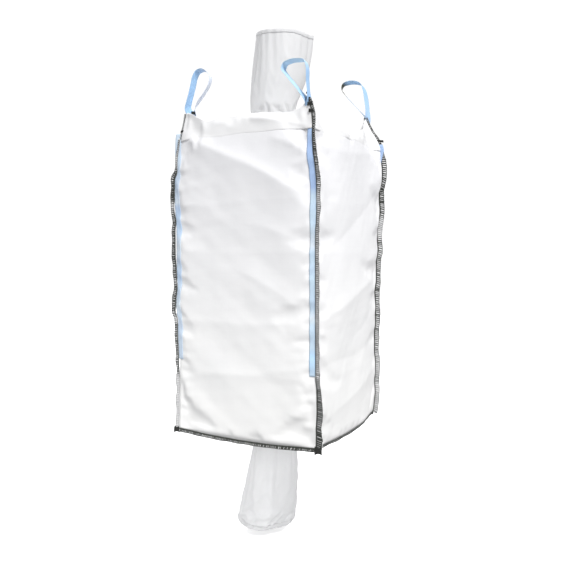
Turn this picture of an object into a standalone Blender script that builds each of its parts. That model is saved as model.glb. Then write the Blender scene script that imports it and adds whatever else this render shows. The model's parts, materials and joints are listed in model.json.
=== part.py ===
"""A flexible bulk bag: four sewn side panels, a floor, a top panel, two spouts and four lifting loops.

Metres, +Z up. The origin is the lifting point: midway between the four loops, at the height where a
fork or a spreader bar carries them. Heights named *_H are counted up from the bag's floor.
"""

import math

import bmesh
import bpy
from mathutils import Matrix, Vector

# Driving dimensions
BAG_WIDTH = 0.90
RIM_H = 1.755
CORNER_RISE = 0.020
CLOTH = 0.003
GAP = 0.0003

# Webbing straps
BAND_WIDTH = 0.040
BAND_THICK = 0.003
LEG_BOTTOM_H = 0.39
LEG_TOP_H = 1.735
LEG_INSET = 0.004

# Seams and hems
FIN_WIDTH = 0.030
FIN_THICK = 0.004
BOTTOM_FIN_DEPTH = 0.024
HEM_DEPTH = 0.11
HEM_THICK = 0.002
RING_FIN_WIDTH = 0.016
RING_FIN_DEPTH = 0.014

# Top panel and the two spouts
TOP_H = 1.745
SPOUT_SEGMENTS = 32
SPOUT_HOLE_R = 0.132
FILL_X = -0.055
DISCHARGE_X = -0.030
NECK_LENGTH = 0.30
FILL_LENGTH = 0.615
DISCHARGE_LENGTH = 0.70
FILL_MOUTH_R = 0.170
DISCHARGE_MOUTH_R = 0.170
FILL_LEAN = 0.080
DISCHARGE_LEAN = -0.085
FILL_PIVOT = 0.240
DISCHARGE_PIVOT = 0.270
SPOUT_HEM_DEPTH = 0.025
SPOUT_HEM_THICK = 0.0015
SPOUT_SEAM_WIDTH = 0.014

# Lifting loops
LOOP_RISE = 0.225
LOOP_BASE_THICK = 0.008
LOOP_FLEX = 0.006
LOOP_LEG_GAP = 0.0014
LOOP_OUTER_LEAN = 0.030
LOOP_CROWN_END = 0.185
LOOP_CORNER_R = 0.028
TACK_THICK = 0.003
TACK_HEIGHT = 0.012
LOOP_TACK_DROP = 0.028
HEM_TACK_RISE = 0.010
BOTTOM_TACK_WIDTH = 0.018

HALF = BAG_WIDTH / 2
PANEL_SPAN = HALF - CLOTH - GAP
# Each corner's name and side signs, its loop's inset along X, and the height its loop hinges at
CORNERS = (
    ("front_left", -1, -1, 0.050, 1.850),
    ("front_right", 1, -1, 0.070, 1.800),
    ("back_right", 1, 1, 0.068, 1.890),
    ("back_left", -1, 1, 0.050, 1.850),
)
LIFT_H = sum(corner[-1] for corner in CORNERS) / len(CORNERS) + LOOP_RISE - BAND_THICK


def level(height):
    """The Z of a height counted up from the bag's floor."""
    return height - LIFT_H


def make_material(name, colour, roughness):
    material = bpy.data.materials.new(name)
    material.use_nodes = True
    shader = material.node_tree.nodes["Principled BSDF"]
    shader.inputs["Base Color"].default_value = (*colour, 1.0)
    shader.inputs["Roughness"].default_value = roughness
    shader.inputs["Metallic"].default_value = 0.0
    material.diffuse_color = (*colour, 1.0)
    return material


def add_object(name, mesh_builder, material, origin=(0.0, 0.0, 0.0), smooth=False):
    """Makes one named object from a bmesh whose points are in world space, with the given origin."""
    bm = bmesh.new()
    mesh_builder(bm)
    bmesh.ops.recalc_face_normals(bm, faces=bm.faces)
    bmesh.ops.translate(bm, verts=bm.verts, vec=-Vector(origin))
    mesh = bpy.data.meshes.new(name)
    bm.to_mesh(mesh)
    bm.free()
    if smooth:
        mesh.shade_smooth()
        mesh.set_sharp_from_angle(angle=math.radians(40))
    obj = bpy.data.objects.new(name, mesh)
    obj.location = origin
    obj.data.materials.append(material)
    bpy.context.scene.collection.objects.link(obj)
    return obj


def extrude_outline(bm, outline, offset):
    """Fills a closed outline of 3-D points and extrudes it by an offset."""
    face = bm.faces.new([bm.verts.new(point) for point in outline])
    grown = bmesh.ops.extrude_face_region(bm, geom=[face])
    moved = [item for item in grown["geom"] if isinstance(item, bmesh.types.BMVert)]
    bmesh.ops.translate(bm, verts=moved, vec=Vector(offset))


def block(bm, low, high):
    """A closed box between two corners."""
    size = [b - a for a, b in zip(low, high)]
    centre = [(a + b) / 2 for a, b in zip(low, high)]
    place = Matrix.Translation(centre) @ Matrix.Diagonal((*size, 1.0))
    bmesh.ops.create_cube(bm, size=1.0, matrix=place)


def rim_height(share):
    """Height of the rim at a share (-1 to 1) of a panel's half width: it rises into both corners."""
    return RIM_H + CORNER_RISE * abs(share) ** 3


def wall_outline(half_span, bottom_h, columns=12):
    """Points (across, height) round a side panel or hem whose top edge follows the rim."""
    points = [(-half_span, bottom_h), (half_span, bottom_h)]
    for step in range(columns + 1):
        across = half_span * (1 - 2 * step / columns)
        points.append((across, rim_height(across / HALF)))
    return points


def wall_sheet(side, half_span, bottom_h, inner, thick):
    """An upright sheet. side is "x" or "y" with a sign; inner is its distance from the centre."""
    axis, sign = side

    def build(bm):
        outline = []
        for across, height in wall_outline(half_span, bottom_h):
            if axis == "x":
                outline.append((sign * inner, across, level(height)))
            else:
                outline.append((across, sign * inner, level(height)))
        offset = (sign * thick, 0, 0) if axis == "x" else (0, sign * thick, 0)
        extrude_outline(bm, outline, offset)

    return build


def make_walls(fabric):
    """Front and back run the full width; left and right fit between them. A hem covers each rim."""
    strap_layers = BAND_THICK + 2 * GAP
    for name, sign in (("front", -1), ("back", 1)):
        sheet = wall_sheet(("y", sign), HALF, 0.0, HALF - CLOTH, CLOTH)
        add_object(f"{name}_panel", sheet, fabric)
        hem = wall_sheet(("y", sign), HALF, RIM_H - HEM_DEPTH, HALF + strap_layers, HEM_THICK)
        add_object(f"{name}_hem", hem, fabric)
    for name, sign in (("left", -1), ("right", 1)):
        sheet = wall_sheet(("x", sign), PANEL_SPAN, 0.0, HALF - CLOTH, CLOTH)
        add_object(f"{name}_panel", sheet, fabric)
        hem_span = HALF - FIN_THICK
        hem = wall_sheet(("x", sign), hem_span, RIM_H - HEM_DEPTH, HALF + GAP, HEM_THICK)
        add_object(f"{name}_hem", hem, fabric)


def holed_sheet(bottom_h, hole_x):
    """A square sheet with a round hole centred at hole_x, from one ring of points on each edge."""

    def build(bm):
        rings = []
        for z in (level(bottom_h), level(bottom_h + CLOTH)):
            square = []
            hole = []
            for step in range(SPOUT_SEGMENTS):
                angle = 2 * math.pi * step / SPOUT_SEGMENTS
                c, s = math.cos(angle), math.sin(angle)
                reach = PANEL_SPAN / max(abs(c), abs(s))
                square.append(bm.verts.new((reach * c, reach * s, z)))
                hole.append(bm.verts.new((hole_x + SPOUT_HOLE_R * c, SPOUT_HOLE_R * s, z)))
            rings.append((square, hole))
        (low_square, low_hole), (high_square, high_hole) = rings
        loops = (low_square, high_square, high_hole, low_hole)
        for first, second in zip(loops, loops[1:] + loops[:1]):
            for i in range(SPOUT_SEGMENTS):
                j = (i + 1) % SPOUT_SEGMENTS
                bm.faces.new((first[i], first[j], second[j], second[i]))

    return build


def make_top_and_floor(fabric, floor_body):
    add_object("top_panel", holed_sheet(TOP_H - CLOTH, FILL_X), fabric)
    floor = add_object("bottom_panel", holed_sheet(0.0, DISCHARGE_X), fabric)
    floor.parent = floor_body


def make_corner_seams(fabric):
    """Both panels' edges are overlocked together in a fin that stands out sideways at each corner."""
    for name, sx, sy, _, _ in CORNERS:
        inner, outer = sorted((sx * (HALF + GAP), sx * (HALF + FIN_WIDTH)))
        near, far = sorted((sy * (HALF - FIN_THICK), sy * HALF))

        def build(bm, low=(inner, near, level(GAP)), high=(outer, far, level(RIM_H + CORNER_RISE / 2))):
            block(bm, low, high)

        add_object(f"{name}_corner_seam", build, fabric)


def make_bottom_seams(fabric, thread, floor_body):
    """The fins below the four floor edges, and the dense tacks of thread where they meet."""
    low_z, high_z = level(-BOTTOM_FIN_DEPTH), level(-GAP)
    side_span = HALF - FIN_THICK - GAP
    for name, sign in (("front", -1), ("back", 1)):
        near, far = sorted((sign * (HALF - FIN_THICK), sign * HALF))

        def build(bm, low=(-HALF, near, low_z), high=(HALF, far, high_z)):
            block(bm, low, high)

        add_object(f"{name}_bottom_seam", build, fabric).parent = floor_body
    for name, sign in (("left", -1), ("right", 1)):
        near, far = sorted((sign * (HALF - FIN_THICK), sign * HALF))

        def build(bm, low=(near, -side_span, low_z), high=(far, side_span, high_z)):
            block(bm, low, high)

        add_object(f"{name}_bottom_seam", build, fabric).parent = floor_body

    for name, sx, sy, _, _ in CORNERS:
        inner, outer = sorted((sx * (HALF + GAP), sx * (HALF + BOTTOM_TACK_WIDTH)))
        near, far = sorted((sy * (HALF - FIN_THICK), sy * HALF))

        def tack(bm, low=(inner, near, low_z), high=(outer, far, high_z)):
            block(bm, low, high)

        add_object(f"{name}_bottom_tack", tack, thread).parent = floor_body


def spout_radius(down, length, mouth_r):
    """Outer radius at a distance from the panel: gathered at the panel, then opening to the mouth."""
    share = min(down / length, 1.0)
    return SPOUT_HOLE_R + (mouth_r - SPOUT_HOLE_R) * math.sin(share * math.pi / 2)


def spout_sleeve(start, end, length, mouth_r, base_x, lean, up, base_h, wall, grow=0.0, rows=3):
    """A round sleeve between two distances from its panel, whose axis leans over as it goes."""

    def ring(bm, distance, inset):
        share = distance / length
        radius = spout_radius(distance, length, mouth_r) + grow - inset
        centre_x = base_x + lean * share
        z = level(base_h) + up * distance
        points = []
        for step in range(SPOUT_SEGMENTS):
            angle = 2 * math.pi * step / SPOUT_SEGMENTS
            x = centre_x + radius * math.cos(angle)
            points.append(bm.verts.new((x, radius * math.sin(angle), z)))
        return points

    def build(bm):
        stations = [start + (end - start) * i / rows for i in range(rows + 1)]
        outer = [ring(bm, distance, 0.0) for distance in stations]
        inner = [ring(bm, distance, wall) for distance in reversed(stations)]
        loops = outer + inner
        for first, second in zip(loops, loops[1:] + loops[:1]):
            for i in range(SPOUT_SEGMENTS):
                j = (i + 1) % SPOUT_SEGMENTS
                bm.faces.new((first[i], first[j], second[j], second[i]))

    return build


def spout_seam_strip(start, end, length, mouth_r, base_x, lean, up, base_h, rows=3):
    """The flat fin of the sleeve's own joining seam, up its back (+Y) side."""

    def build(bm):
        stations = [start + (end - start) * i / rows for i in range(rows + 1)]
        inner_edge = []
        outer_edge = []
        for distance in stations:
            share = distance / length
            x = base_x + lean * share - SPOUT_HEM_THICK / 2
            z = level(base_h) + up * distance
            y = spout_radius(distance, length, mouth_r) + 2 * GAP
            inner_edge.append((x, y, z))
            outer_edge.append((x, y + SPOUT_SEAM_WIDTH, z))
        extrude_outline(bm, inner_edge + outer_edge[::-1], (SPOUT_HEM_THICK, 0, 0))

    return build


def make_spout(name, fabric, parent, up, base_h, length, mouth_r, base_x, lean, fold_at):
    """Neck, tube, mouth hem, joining seam and the overlocked ring at the panel.

    The sleeve folds about an axis along Y, fold_at from its panel.
    """
    shape = (length, mouth_r, base_x, lean, up, base_h)
    ring = spout_sleeve(
        GAP, RING_FIN_DEPTH, *shape, wall=RING_FIN_WIDTH - GAP, grow=RING_FIN_WIDTH, rows=1
    )
    add_object(f"{name}_spout_seam_ring", ring, fabric, smooth=True).parent = parent
    neck = spout_sleeve(GAP, NECK_LENGTH, *shape, wall=CLOTH)
    add_object(f"{name}_spout_neck", neck, fabric, smooth=True).parent = parent

    pivot_x = base_x + lean * fold_at / length
    pivot = (pivot_x, 0.0, level(base_h) + up * fold_at)
    hinge = bpy.data.objects.new(f"{name}_spout_axis", None)
    hinge.location = pivot
    bpy.context.scene.collection.objects.link(hinge)

    tube = spout_sleeve(NECK_LENGTH + GAP, length, *shape, wall=CLOTH)
    hem_start = length - SPOUT_HEM_DEPTH
    hem_grow = SPOUT_HEM_THICK + GAP
    hem = spout_sleeve(
        hem_start, length, *shape, wall=SPOUT_HEM_THICK, grow=hem_grow, rows=1
    )
    strip = spout_seam_strip(NECK_LENGTH + GAP, hem_start - GAP, *shape)
    for piece, shape_builder in (("tube", tube), ("hem", hem), ("side_seam", strip)):
        smooth = piece != "side_seam"
        obj = add_object(f"{name}_spout_{piece}", shape_builder, fabric, pivot, smooth)
        obj.parent = hinge
        obj.location = (0, 0, 0)
    return hinge


def rounded_path(corners, radius, steps=6):
    """A 2-D path through the corners, with each inner corner rounded to an arc."""
    path = [Vector(corners[0])]
    for before, here, after in zip(corners, corners[1:], corners[2:]):
        here = Vector(here)
        to_before = (Vector(before) - here).normalized()
        to_after = (Vector(after) - here).normalized()
        half_angle = to_before.angle(to_after) / 2
        start = here + to_before * (radius / math.tan(half_angle))
        end = here + to_after * (radius / math.tan(half_angle))
        centre = here + (to_before + to_after).normalized() * (radius / math.sin(half_angle))
        for step in range(steps + 1):
            first, last = (start - centre).normalized(), (end - centre).normalized()
            path.append(centre + radius * first.slerp(last, step / steps))
    path.append(Vector(corners[-1]))
    return path


def strap_ribbon(path, thick):
    """Both edges of a ribbon of the given thickness along a 2-D path, as one closed outline."""
    left, right = [], []
    for index, point in enumerate(path):
        before = path[max(index - 1, 0)]
        after = path[min(index + 1, len(path) - 1)]
        run = (after - before).normalized()
        side = Vector((-run.y, run.x)) * thick / 2
        left.append(point + side)
        right.append(point - side)
    return left + right[::-1]


def loop_path():
    """The loop seen along Y, as (inward, up) from its pivot: an upright leg, a crown, a slant leg."""
    leg = LOOP_LEG_GAP + BAND_THICK / 2
    crown = LOOP_RISE - BAND_THICK / 2
    corners = (
        (-leg, GAP),
        (LOOP_OUTER_LEAN, crown),
        (LOOP_CROWN_END, crown),
        (leg, GAP),
    )
    return rounded_path(corners, LOOP_CORNER_R)


def make_loops(webbing):
    """Each strap's free loop, its sewn base and its two sewn legs, one each side of the panel."""
    for name, sx, sy, inset, pivot_h in CORNERS:
        pivot_x = sx * (HALF - inset)
        near_y = sy * (PANEL_SPAN - BAND_WIDTH)
        pivot = (pivot_x, sy * (PANEL_SPAN - BAND_WIDTH / 2), level(pivot_h))

        def free_loop(bm, px=pivot_x, y=near_y, sx=sx, sy=sy, pivot_h=pivot_h):
            outline = []
            for inward, up in strap_ribbon(loop_path(), BAND_THICK):
                outline.append((px - sx * inward, y, level(pivot_h + up)))
            extrude_outline(bm, outline, (0, sy * BAND_WIDTH, 0))

        add_object(f"{name}_loop", free_loop, webbing, pivot)

        low_y, high_y = sorted((near_y, sy * PANEL_SPAN))
        half_base = LOOP_BASE_THICK / 2

        def sewn_base(bm, px=pivot_x, low_y=low_y, high_y=high_y, top_h=pivot_h - LOOP_FLEX):
            low = (px - half_base, low_y, level(TOP_H + GAP))
            block(bm, low, (px + half_base, high_y, level(top_h)))

        add_object(f"{name}_loop_base", sewn_base, webbing)

        edges = (sx * (HALF - LEG_INSET), sx * (HALF - LEG_INSET - BAND_WIDTH))
        low_x, high_x = sorted(edges)
        layers = (
            ("outer", HALF + GAP, HALF + GAP + BAND_THICK),
            ("inner", HALF - CLOTH - GAP - BAND_THICK, HALF - CLOTH - GAP),
        )
        for layer, near, far in layers:
            near_leg, far_leg = sorted((sy * near, sy * far))

            def sewn_leg(bm, low_y=near_leg, high_y=far_leg, low_x=low_x, high_x=high_x):
                low = (low_x, low_y, level(LEG_BOTTOM_H))
                block(bm, low, (high_x, high_y, level(LEG_TOP_H)))

            add_object(f"{name}_{layer}_leg", sewn_leg, webbing)


def make_bar_tacks(thread):
    """Dense bars of thread: one across the inner face of each loop base, one on each hem's corner."""
    for name, sx, sy, inset, pivot_h in CORNERS:
        face = HALF - inset - LOOP_BASE_THICK / 2 - GAP
        low_x, high_x = sorted((sx * face, sx * (face - TACK_THICK)))
        low_y, high_y = sorted((sy * (PANEL_SPAN - BAND_WIDTH), sy * (PANEL_SPAN - GAP)))
        loop_z = level(pivot_h - LOOP_TACK_DROP)

        def loop_bar(bm, low=(low_x, low_y, loop_z), high=(high_x, high_y, loop_z + TACK_HEIGHT)):
            block(bm, low, high)

        add_object(f"{name}_loop_tack", loop_bar, thread)

        hem_face = HALF + BAND_THICK + HEM_THICK + 3 * GAP
        low_x, high_x = sorted((sx * (HALF - LEG_INSET - BAND_WIDTH), sx * (HALF - LEG_INSET)))
        low_y, high_y = sorted((sy * hem_face, sy * (hem_face + TACK_THICK)))
        hem_z = level(RIM_H - HEM_DEPTH + HEM_TACK_RISE)

        def hem_bar(bm, low=(low_x, low_y, hem_z), high=(high_x, high_y, hem_z + TACK_HEIGHT)):
            block(bm, low, high)

        add_object(f"{name}_hem_tack", hem_bar, thread)


def clear_scene():
    for obj in list(bpy.data.objects):
        bpy.data.objects.remove(obj, do_unlink=True)


def main():
    clear_scene()
    fabric = make_material("bag_fabric", (0.83, 0.83, 0.84), 0.72)
    spout_fabric = make_material("spout_fabric", (0.86, 0.87, 0.87), 0.62)
    webbing = make_material("webbing", (0.36, 0.60, 0.86), 0.68)
    thread = make_material("seam_thread", (0.03, 0.035, 0.025), 0.80)

    floor_body = bpy.data.objects.new("floor_axis", None)
    bpy.context.scene.collection.objects.link(floor_body)

    make_walls(fabric)
    make_top_and_floor(fabric, floor_body)
    make_corner_seams(fabric)
    make_bottom_seams(fabric, thread, floor_body)
    fill = (TOP_H, FILL_LENGTH, FILL_MOUTH_R, FILL_X, FILL_LEAN, FILL_PIVOT)
    make_spout("fill", spout_fabric, None, 1, *fill)
    sleeve = (DISCHARGE_LENGTH, DISCHARGE_MOUTH_R, DISCHARGE_X, DISCHARGE_LEAN)
    discharge = (0.0, *sleeve, DISCHARGE_PIVOT)
    make_spout("discharge", spout_fabric, floor_body, -1, *discharge).parent = floor_body
    make_loops(webbing)
    make_bar_tacks(thread)


main()
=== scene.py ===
"""Looks of the bulk bag: cloth, webbing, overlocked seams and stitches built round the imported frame."""

import json
import math

import bpy
import numpy as np
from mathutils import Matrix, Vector

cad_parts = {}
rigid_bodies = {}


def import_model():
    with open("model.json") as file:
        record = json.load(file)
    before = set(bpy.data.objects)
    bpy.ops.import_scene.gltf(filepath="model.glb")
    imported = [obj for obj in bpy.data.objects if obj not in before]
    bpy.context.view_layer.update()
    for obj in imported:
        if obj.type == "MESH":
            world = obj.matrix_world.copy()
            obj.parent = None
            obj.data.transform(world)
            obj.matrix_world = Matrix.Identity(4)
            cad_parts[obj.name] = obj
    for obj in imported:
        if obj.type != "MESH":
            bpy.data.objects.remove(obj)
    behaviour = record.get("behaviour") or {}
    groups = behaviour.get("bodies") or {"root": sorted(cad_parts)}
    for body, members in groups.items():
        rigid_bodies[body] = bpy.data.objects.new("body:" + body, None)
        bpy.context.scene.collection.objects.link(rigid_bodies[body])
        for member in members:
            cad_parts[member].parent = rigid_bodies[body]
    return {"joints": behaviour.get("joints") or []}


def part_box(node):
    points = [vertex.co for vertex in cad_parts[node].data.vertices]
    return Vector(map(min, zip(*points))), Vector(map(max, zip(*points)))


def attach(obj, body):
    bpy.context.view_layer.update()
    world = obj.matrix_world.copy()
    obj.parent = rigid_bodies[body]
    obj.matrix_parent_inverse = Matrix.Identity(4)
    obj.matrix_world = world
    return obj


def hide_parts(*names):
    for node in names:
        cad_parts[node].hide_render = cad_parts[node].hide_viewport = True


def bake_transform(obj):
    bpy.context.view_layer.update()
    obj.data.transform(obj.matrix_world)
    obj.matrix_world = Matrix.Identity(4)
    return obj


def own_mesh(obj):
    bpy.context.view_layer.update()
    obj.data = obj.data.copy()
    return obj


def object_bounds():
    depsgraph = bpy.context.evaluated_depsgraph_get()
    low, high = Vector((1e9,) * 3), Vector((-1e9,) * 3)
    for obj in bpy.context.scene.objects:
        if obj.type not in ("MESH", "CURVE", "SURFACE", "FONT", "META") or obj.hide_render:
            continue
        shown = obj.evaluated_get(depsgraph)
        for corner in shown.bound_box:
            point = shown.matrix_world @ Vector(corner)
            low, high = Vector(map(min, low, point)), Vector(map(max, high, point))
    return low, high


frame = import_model()
CAD_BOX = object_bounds()
JOINTS = {joint["name"]: joint for joint in frame["joints"]}

# Places read from the frame. Heights named *_H are counted up from the bag's floor.
FLOOR_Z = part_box("bottom_panel")[0].z
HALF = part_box("front_panel")[1].x
TOP_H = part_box("top_panel")[1].z - FLOOR_Z
LEG_BOTTOM_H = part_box("front_left_outer_leg")[0].z - FLOOR_Z
RIM_H = 1.755
HEM_LOW_H = 1.668
TUCK_H = 1.68
STORAGE_FOLDS_H = (0.36, 0.64, 1.035, 1.3)

UP = np.array([0, 0, 1.0])
OUTWARD = {
    "front": np.array([0, -1.0, 0]), "right": np.array([1.0, 0, 0]), "back": np.array([0, 1.0, 0]),
    "left": np.array([-1.0, 0, 0]),
}
WEBBING_WIDTH = 0.04
WEBBING_THICK = 0.0022
CLOTH_THICK = 0.0009
CREASE_ROUND = 0.004
TOP_INSET = 0.006
HOLE_R = 0.132
SLEEVE_R = 0.16

# How finely things are drawn: rows and columns of grids, and sides of a thread
SIM_ROWS, SIM_COLS = 64, 33
WALL_ROWS, WALL_COLS = 181, 91
SPOUT_ROWS, SPOUT_COLS = 73, 120
HEM_ROWS, STRAP_CELLS, TUBE_SIDES = 20, 8, 6

CLOTH_SETTINGS = {
    "quality": 5, "mass": 0.2, "tension_stiffness": 25, "compression_stiffness": 25, "shear_stiffness": 12,
    "bending_stiffness": 1.5, "air_damping": 4, "vertex_group_mass": "pinned",
}
FLOOR_SAGS = {"front": 0.017, "right": 0.009, "back": 0.015, "left": 0.012}
STITCH_PITCHES = {"front_left": 0.0103, "front_right": 0.0103, "back_right": 0.0125, "back_left": 0.011}
# A fold that slants across the front hem, as points of (across, height)
HEM_SLANT = ((0.45, 1.76), (0.66, 1.735), (0.82, 1.7), (0.9, 1.67))
# Each kind of tack: the body it rides on (None for the corner's loop) and the nodes it stands for
TACK_PLACES = {
    "loop_bar_tack": ("walls", ("loop_tack",)), "hem_bar_tack": ("walls", ("hem_tack",)),
    "loop_leg_tack": (None, ()), "floor_bar_tack": ("floor", ("bottom_tack",)),
}
# Lights: a name, the way to the light, its power and its softness in degrees
SUNS = (("key", (0.56, -0.42, 0.71), 3.3, 16), ("back_fill", (-0.6, 0.62, 0.5), 1.6, 30))
SPOUT_LIGHTS = (
    ("discharge", (-0.6, -0.8, 0.05), 2.3, 60), ("discharge", (0.94, -0.34, 0.0), 2.2, 60),
    ("fill", (-0.9, -0.35, 0.1), 0.7, 60),
)

# The four corners: side signs, height of the ear's top, and the seam's |x| by height
CORNERS = {
    "front_left": (-1, -1, 1.83, (
        (0, 0.442), (0.28, 0.438), (0.4, 0.436), (0.5, 0.44), (0.574, 0.444), (0.64, 0.44), (0.69, 0.458),
        (0.75, 0.453), (0.84, 0.443), (0.92, 0.449), (1.05, 0.456), (1.157, 0.456), (1.21, 0.449),
        (1.27, 0.461), (1.4, 0.46), (1.45, 0.458), (1.49, 0.44), (1.56, 0.437), (1.62, 0.427), (1.72, 0.412),
        (1.83, 0.402))),
    "front_right": (1, -1, 1.827, (
        (0, 0.436), (0.1, 0.437), (0.2, 0.4405), (0.31, 0.4405), (0.36, 0.436), (0.5, 0.4345),
        (0.78, 0.4335), (1, 0.4325), (1.14, 0.433), (1.2, 0.4375), (1.3, 0.4385), (1.395, 0.437),
        (1.45, 0.432), (1.503, 0.4257), (1.553, 0.418), (1.62, 0.415), (1.68, 0.4145), (1.73, 0.408),
        (1.784, 0.394), (1.827, 0.378))),
    "back_right": (1, 1, 1.882, (
        (0, 0.42), (0.03, 0.428), (0.075, 0.433), (0.139, 0.438), (0.204, 0.433), (0.269, 0.438),
        (0.334, 0.437), (0.4, 0.431), (0.5, 0.43), (0.593, 0.436), (0.7, 0.436), (0.786, 0.431),
        (0.85, 0.441), (0.978, 0.44), (1.042, 0.451), (1.12, 0.446), (1.18, 0.448), (1.233, 0.457),
        (1.296, 0.463), (1.36, 0.458), (1.423, 0.457), (1.46, 0.468), (1.5, 0.476), (1.56, 0.475),
        (1.612, 0.469), (1.675, 0.465), (1.735, 0.446), (1.79, 0.412), (1.882, 0.372))),
    "back_left": (-1, 1, 1.838, (
        (0, 0.442), (0.15, 0.447), (0.4, 0.435), (0.66, 0.452), (0.8, 0.44), (1.05, 0.45), (1.3, 0.462),
        (1.5, 0.455), (1.66, 0.448), (1.73, 0.428), (1.838, 0.4))),
}

# Each wall: left and right corner seen from outside, and the rim's height by share of its width
WALLS = {
    "front": ("front_left", "front_right", (
        (0, 1.83), (0.06, 1.818), (0.14, 1.786), (0.23, 1.76), (0.3, 1.769), (0.45, 1.771), (0.66, 1.777),
        (0.8, 1.766), (0.9, 1.772), (0.95, 1.788), (1, 1.827))),
    "right": ("front_right", "back_right", (
        (0, 1.827), (0.05, 1.796), (0.12, 1.764), (0.24, 1.738), (0.38, 1.722), (0.54, 1.73), (0.7, 1.76),
        (0.84, 1.79), (0.95, 1.804), (1, 1.882))),
    "back": ("back_right", "back_left", (
        (0, 1.882), (0.05, 1.8), (0.12, 1.768), (0.35, 1.754), (0.6, 1.75), (0.85, 1.766), (0.95, 1.8),
        (1, 1.838))),
    "left": ("back_left", "front_left", (
        (0, 1.838), (0.05, 1.802), (0.14, 1.766), (0.38, 1.742), (0.62, 1.738), (0.84, 1.764), (0.95, 1.8),
        (1, 1.83))),
}

# How far each corner's fin stands out, by height
FIN_WIDTHS = {
    "front_left": (
        (0, 0.025), (0.28, 0.025), (0.34, 0.019), (0.44, 0.019), (0.52, 0.02), (0.6, 0.02), (0.66, 0.023),
        (1.45, 0.023), (1.53, 0.012), (1.7, 0.01), (1.84, 0.012)),
    "front_right": (
        (0, 0.04), (0.06, 0.04), (0.1, 0.036), (0.2, 0.036), (0.26, 0.03), (0.31, 0.024), (1.4, 0.024),
        (1.55, 0.021), (1.65, 0.018), (1.83, 0.018)),
    "back_right": ((0, 0.03), (0.6, 0.032), (1.6, 0.033), (1.68, 0.018), (1.89, 0.012)),
    "back_left": ((0, 0.03), (1, 0.03), (1.7, 0.024), (1.84, 0.016)),
}

# Each wall's folds: a line of (across, height), its lift, its reach above and below, its fading ends
FOLDS = {
    "front": (
        (((0.02, 1.69), (0.16, 1.64), (0.34, 1.57), (0.52, 1.5), (0.66, 1.43), (0.78, 1.36), (0.9, 1.29)),
         0.025, 0.07, 0.15, (0.2, 0.22)),
        (((0.62, 1.64), (0.74, 1.61), (0.84, 1.56), (0.9, 1.5)), 0.008, 0.03, 0.05, (0.3, 0.1)),
        (((0, 1.3), (0.1, 1.302), (0.24, 1.28)), 0.006, 0.03, 0.03, (0.02, 0.9)),
        (((0, 1.51), (0.08, 1.505), (0.16, 1.48)), 0.005, 0.03, 0.04, (0.02, 0.9)),
        (((0.04, 1.44), (0.16, 1.4), (0.28, 1.33)), 0.004, 0.03, 0.05, (0.3, 0.5)),
        (((0, 1.04), (0.12, 1.045), (0.26, 1.05)), 0.005, 0.028, 0.03, (0.02, 0.9)),
        (((0.4, 1.2), (0.62, 1.16), (0.8, 1.09), (0.9, 1.05)), 0.005, 0.04, 0.06, (0.5, 0.05)),
        (((0.34, 0.96), (0.56, 0.88), (0.76, 0.77), (0.9, 0.67)), 0.006, 0.05, 0.06, (0.4, 0.1)),
        (((0, 0.64), (0.3, 0.63), (0.6, 0.64), (0.9, 0.668)), 0.003, 0.04, 0.05, (0.02, 0.02)),
        (((0, 0.32), (0.22, 0.345), (0.5, 0.36), (0.74, 0.4), (0.9, 0.4)), 0.006, 0.06, 0.05, (0.02, 0.02)),
        (((0.7, 0.18), (0.82, 0.15), (0.9, 0.13)), 0.006, 0.03, 0.04, (0.5, 0.1)),
        (((0.78, 0.33), (0.9, 0.29)), -0.005, 0.014, 0.014, (0.5, 0.05)),
    ),
    "right": (
        (((0, 1.03), (0.2, 1.08), (0.45, 1.2), (0.7, 1.33), (0.9, 1.45)), -0.005, 0.04, 0.06, (0.1, 0.15)),
        (((0, 0.668), (0.2, 0.715), (0.45, 0.79), (0.7, 0.86), (0.9, 0.905)),
         0.014, 0.13, 0.08, (0.05, 0.12)),
        (((0.62, 0.89), (0.76, 0.935), (0.9, 0.96)), -0.004, 0.03, 0.034, (0.4, 0.1)),
        (((0, 1.29), (0.14, 1.32), (0.34, 1.35)), -0.004, 0.038, 0.038, (0.02, 0.8)),
        (((0, 0.4), (0.22, 0.44), (0.44, 0.43), (0.7, 0.47), (0.9, 0.5)), -0.004, 0.04, 0.05, (0.05, 0.2)),
        (((0.35, 0.5), (0.6, 0.6), (0.88, 0.76)), -0.004, 0.05, 0.05, (0.3, 0.1)),
        (((0.05, 0.15), (0.4, 0.2), (0.88, 0.33)), 0.006, 0.06, 0.06, (0.3, 0.2)),
        (((0.1, 1.56), (0.45, 1.6), (0.88, 1.64)), 0.006, 0.06, 0.06, (0.3, 0.2)),
    ),
    "back": (
        (((0.02, 1.64), (0.3, 1.56), (0.6, 1.43), (0.9, 1.25)), 0.02, 0.07, 0.12, (0.2, 0.1)),
        (((0, 1.035), (0.4, 1.06), (0.9, 1.03)), 0.006, 0.035, 0.035, (0.02, 0.02)),
        (((0, 0.64), (0.45, 0.73), (0.9, 0.86)), -0.009, 0.06, 0.06, (0.05, 0.1)),
        (((0, 0.35), (0.5, 0.37), (0.9, 0.34)), 0.006, 0.045, 0.045, (0.02, 0.02)),
    ),
    "left": (
        (((0.02, 1.3), (0.3, 1.4), (0.6, 1.52), (0.9, 1.66)), 0.018, 0.11, 0.07, (0.1, 0.2)),
        (((0, 1.035), (0.45, 1.02), (0.9, 1.035)), 0.006, 0.035, 0.035, (0.02, 0.02)),
        (((0, 0.86), (0.45, 0.76), (0.9, 0.65)), -0.009, 0.06, 0.06, (0.1, 0.05)),
        (((0, 0.34), (0.45, 0.37), (0.9, 0.35)), 0.006, 0.045, 0.045, (0.02, 0.02)),
    ),
}

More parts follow.
